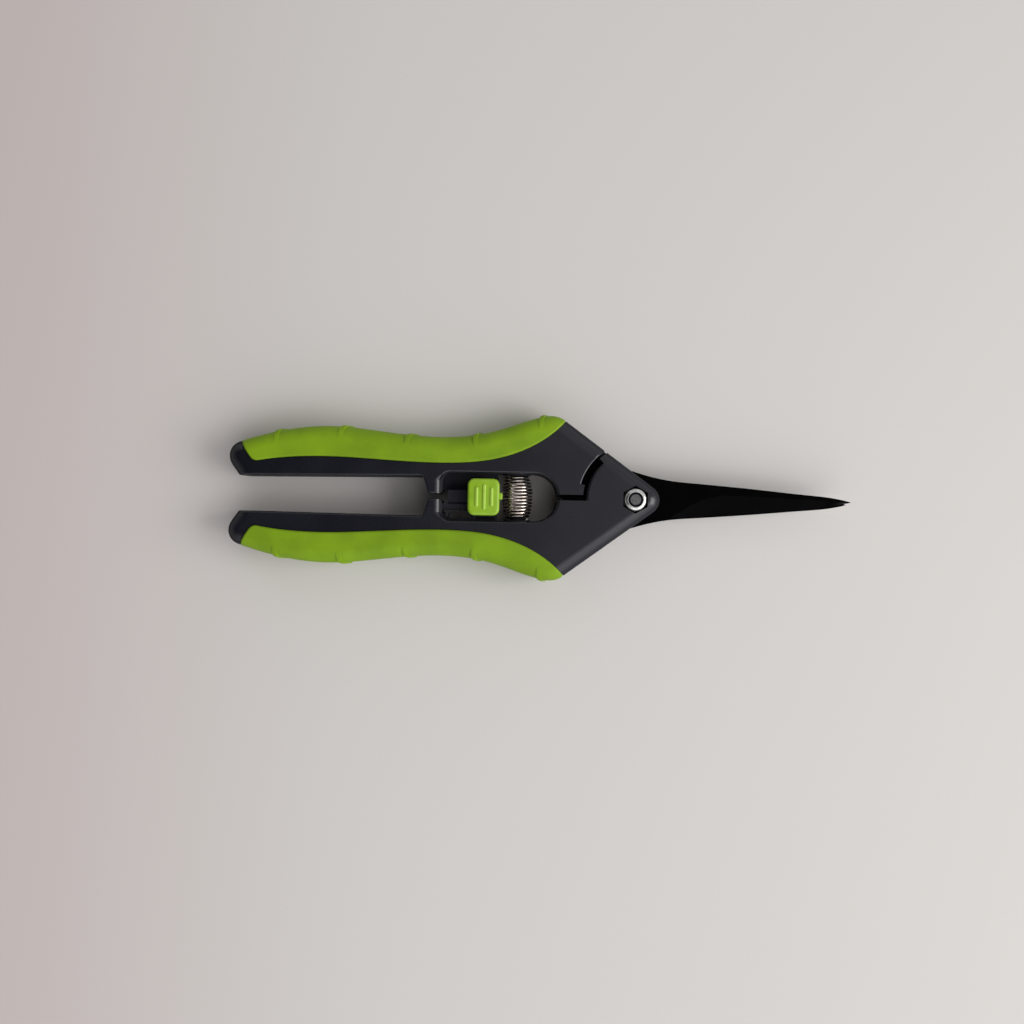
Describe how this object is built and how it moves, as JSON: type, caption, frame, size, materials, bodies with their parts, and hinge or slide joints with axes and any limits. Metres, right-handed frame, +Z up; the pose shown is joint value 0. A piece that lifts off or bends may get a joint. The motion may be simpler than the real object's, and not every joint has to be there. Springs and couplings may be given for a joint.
{
  "type": "floral snips",
  "caption": "Hand snips with long narrow straight blades, a bolted pivot, a coil return spring between the handles, soft grips and a sliding lock.",
  "frame": {"origin": "on the surface the closed, lying tool rests on, under the middle of its overall length and width", "axes": "+X along the tool towards the blade tips, +Y across it towards the upper handle, +Z up out of the nut's face, away from the surface"},
  "size_m": [0.1894, 0.051, 0.0163],
  "materials": {
    "handle_plastic": "moulded charcoal grey plastic with a fine satin grain",
    "grip_rubber": "soft leaf-green overmoulded rubber, satin",
    "blade_coating": "thin black non-stick coating on sheet steel, semi-gloss",
    "fastener_steel": "bright zinc-plated steel",
    "nylon": "dark blue nylon, smooth",
    "spring_steel": "bright drawn spring wire",
    "button_plastic": "light leaf-green moulded plastic, smooth"
  },
  "bodies": {
    "lower_handle": {"lower_handle_core": "handle_plastic", "lower_grip": "grip_rubber", "lower_handle_blade": "blade_coating", "pivot_bolt": "fastener_steel", "pivot_nut": "fastener_steel", "nut_nylon_ring": "nylon", "return_spring": "spring_steel"},
    "upper_handle": {"upper_handle_core": "handle_plastic", "upper_grip": "grip_rubber", "upper_handle_blade": "blade_coating"},
    "lock_slider": {"lock_slide": "handle_plastic", "lock_button": "button_plastic"}
  },
  "joints": [
    {"name": "handle_hinge", "type": "hinge", "parent": "lower_handle", "child": "upper_handle", "pos_m": [0.02823, 0, 0.008], "axis": [0, 0, -1], "range_deg": [-1.1, 32], "deforming": ["return_spring"]},
    {"name": "lock_slide", "type": "slide", "parent": "lower_handle", "child": "lock_slider", "axis": [-1, 0, 0], "range_m": [0, 0.007]}
  ]
}
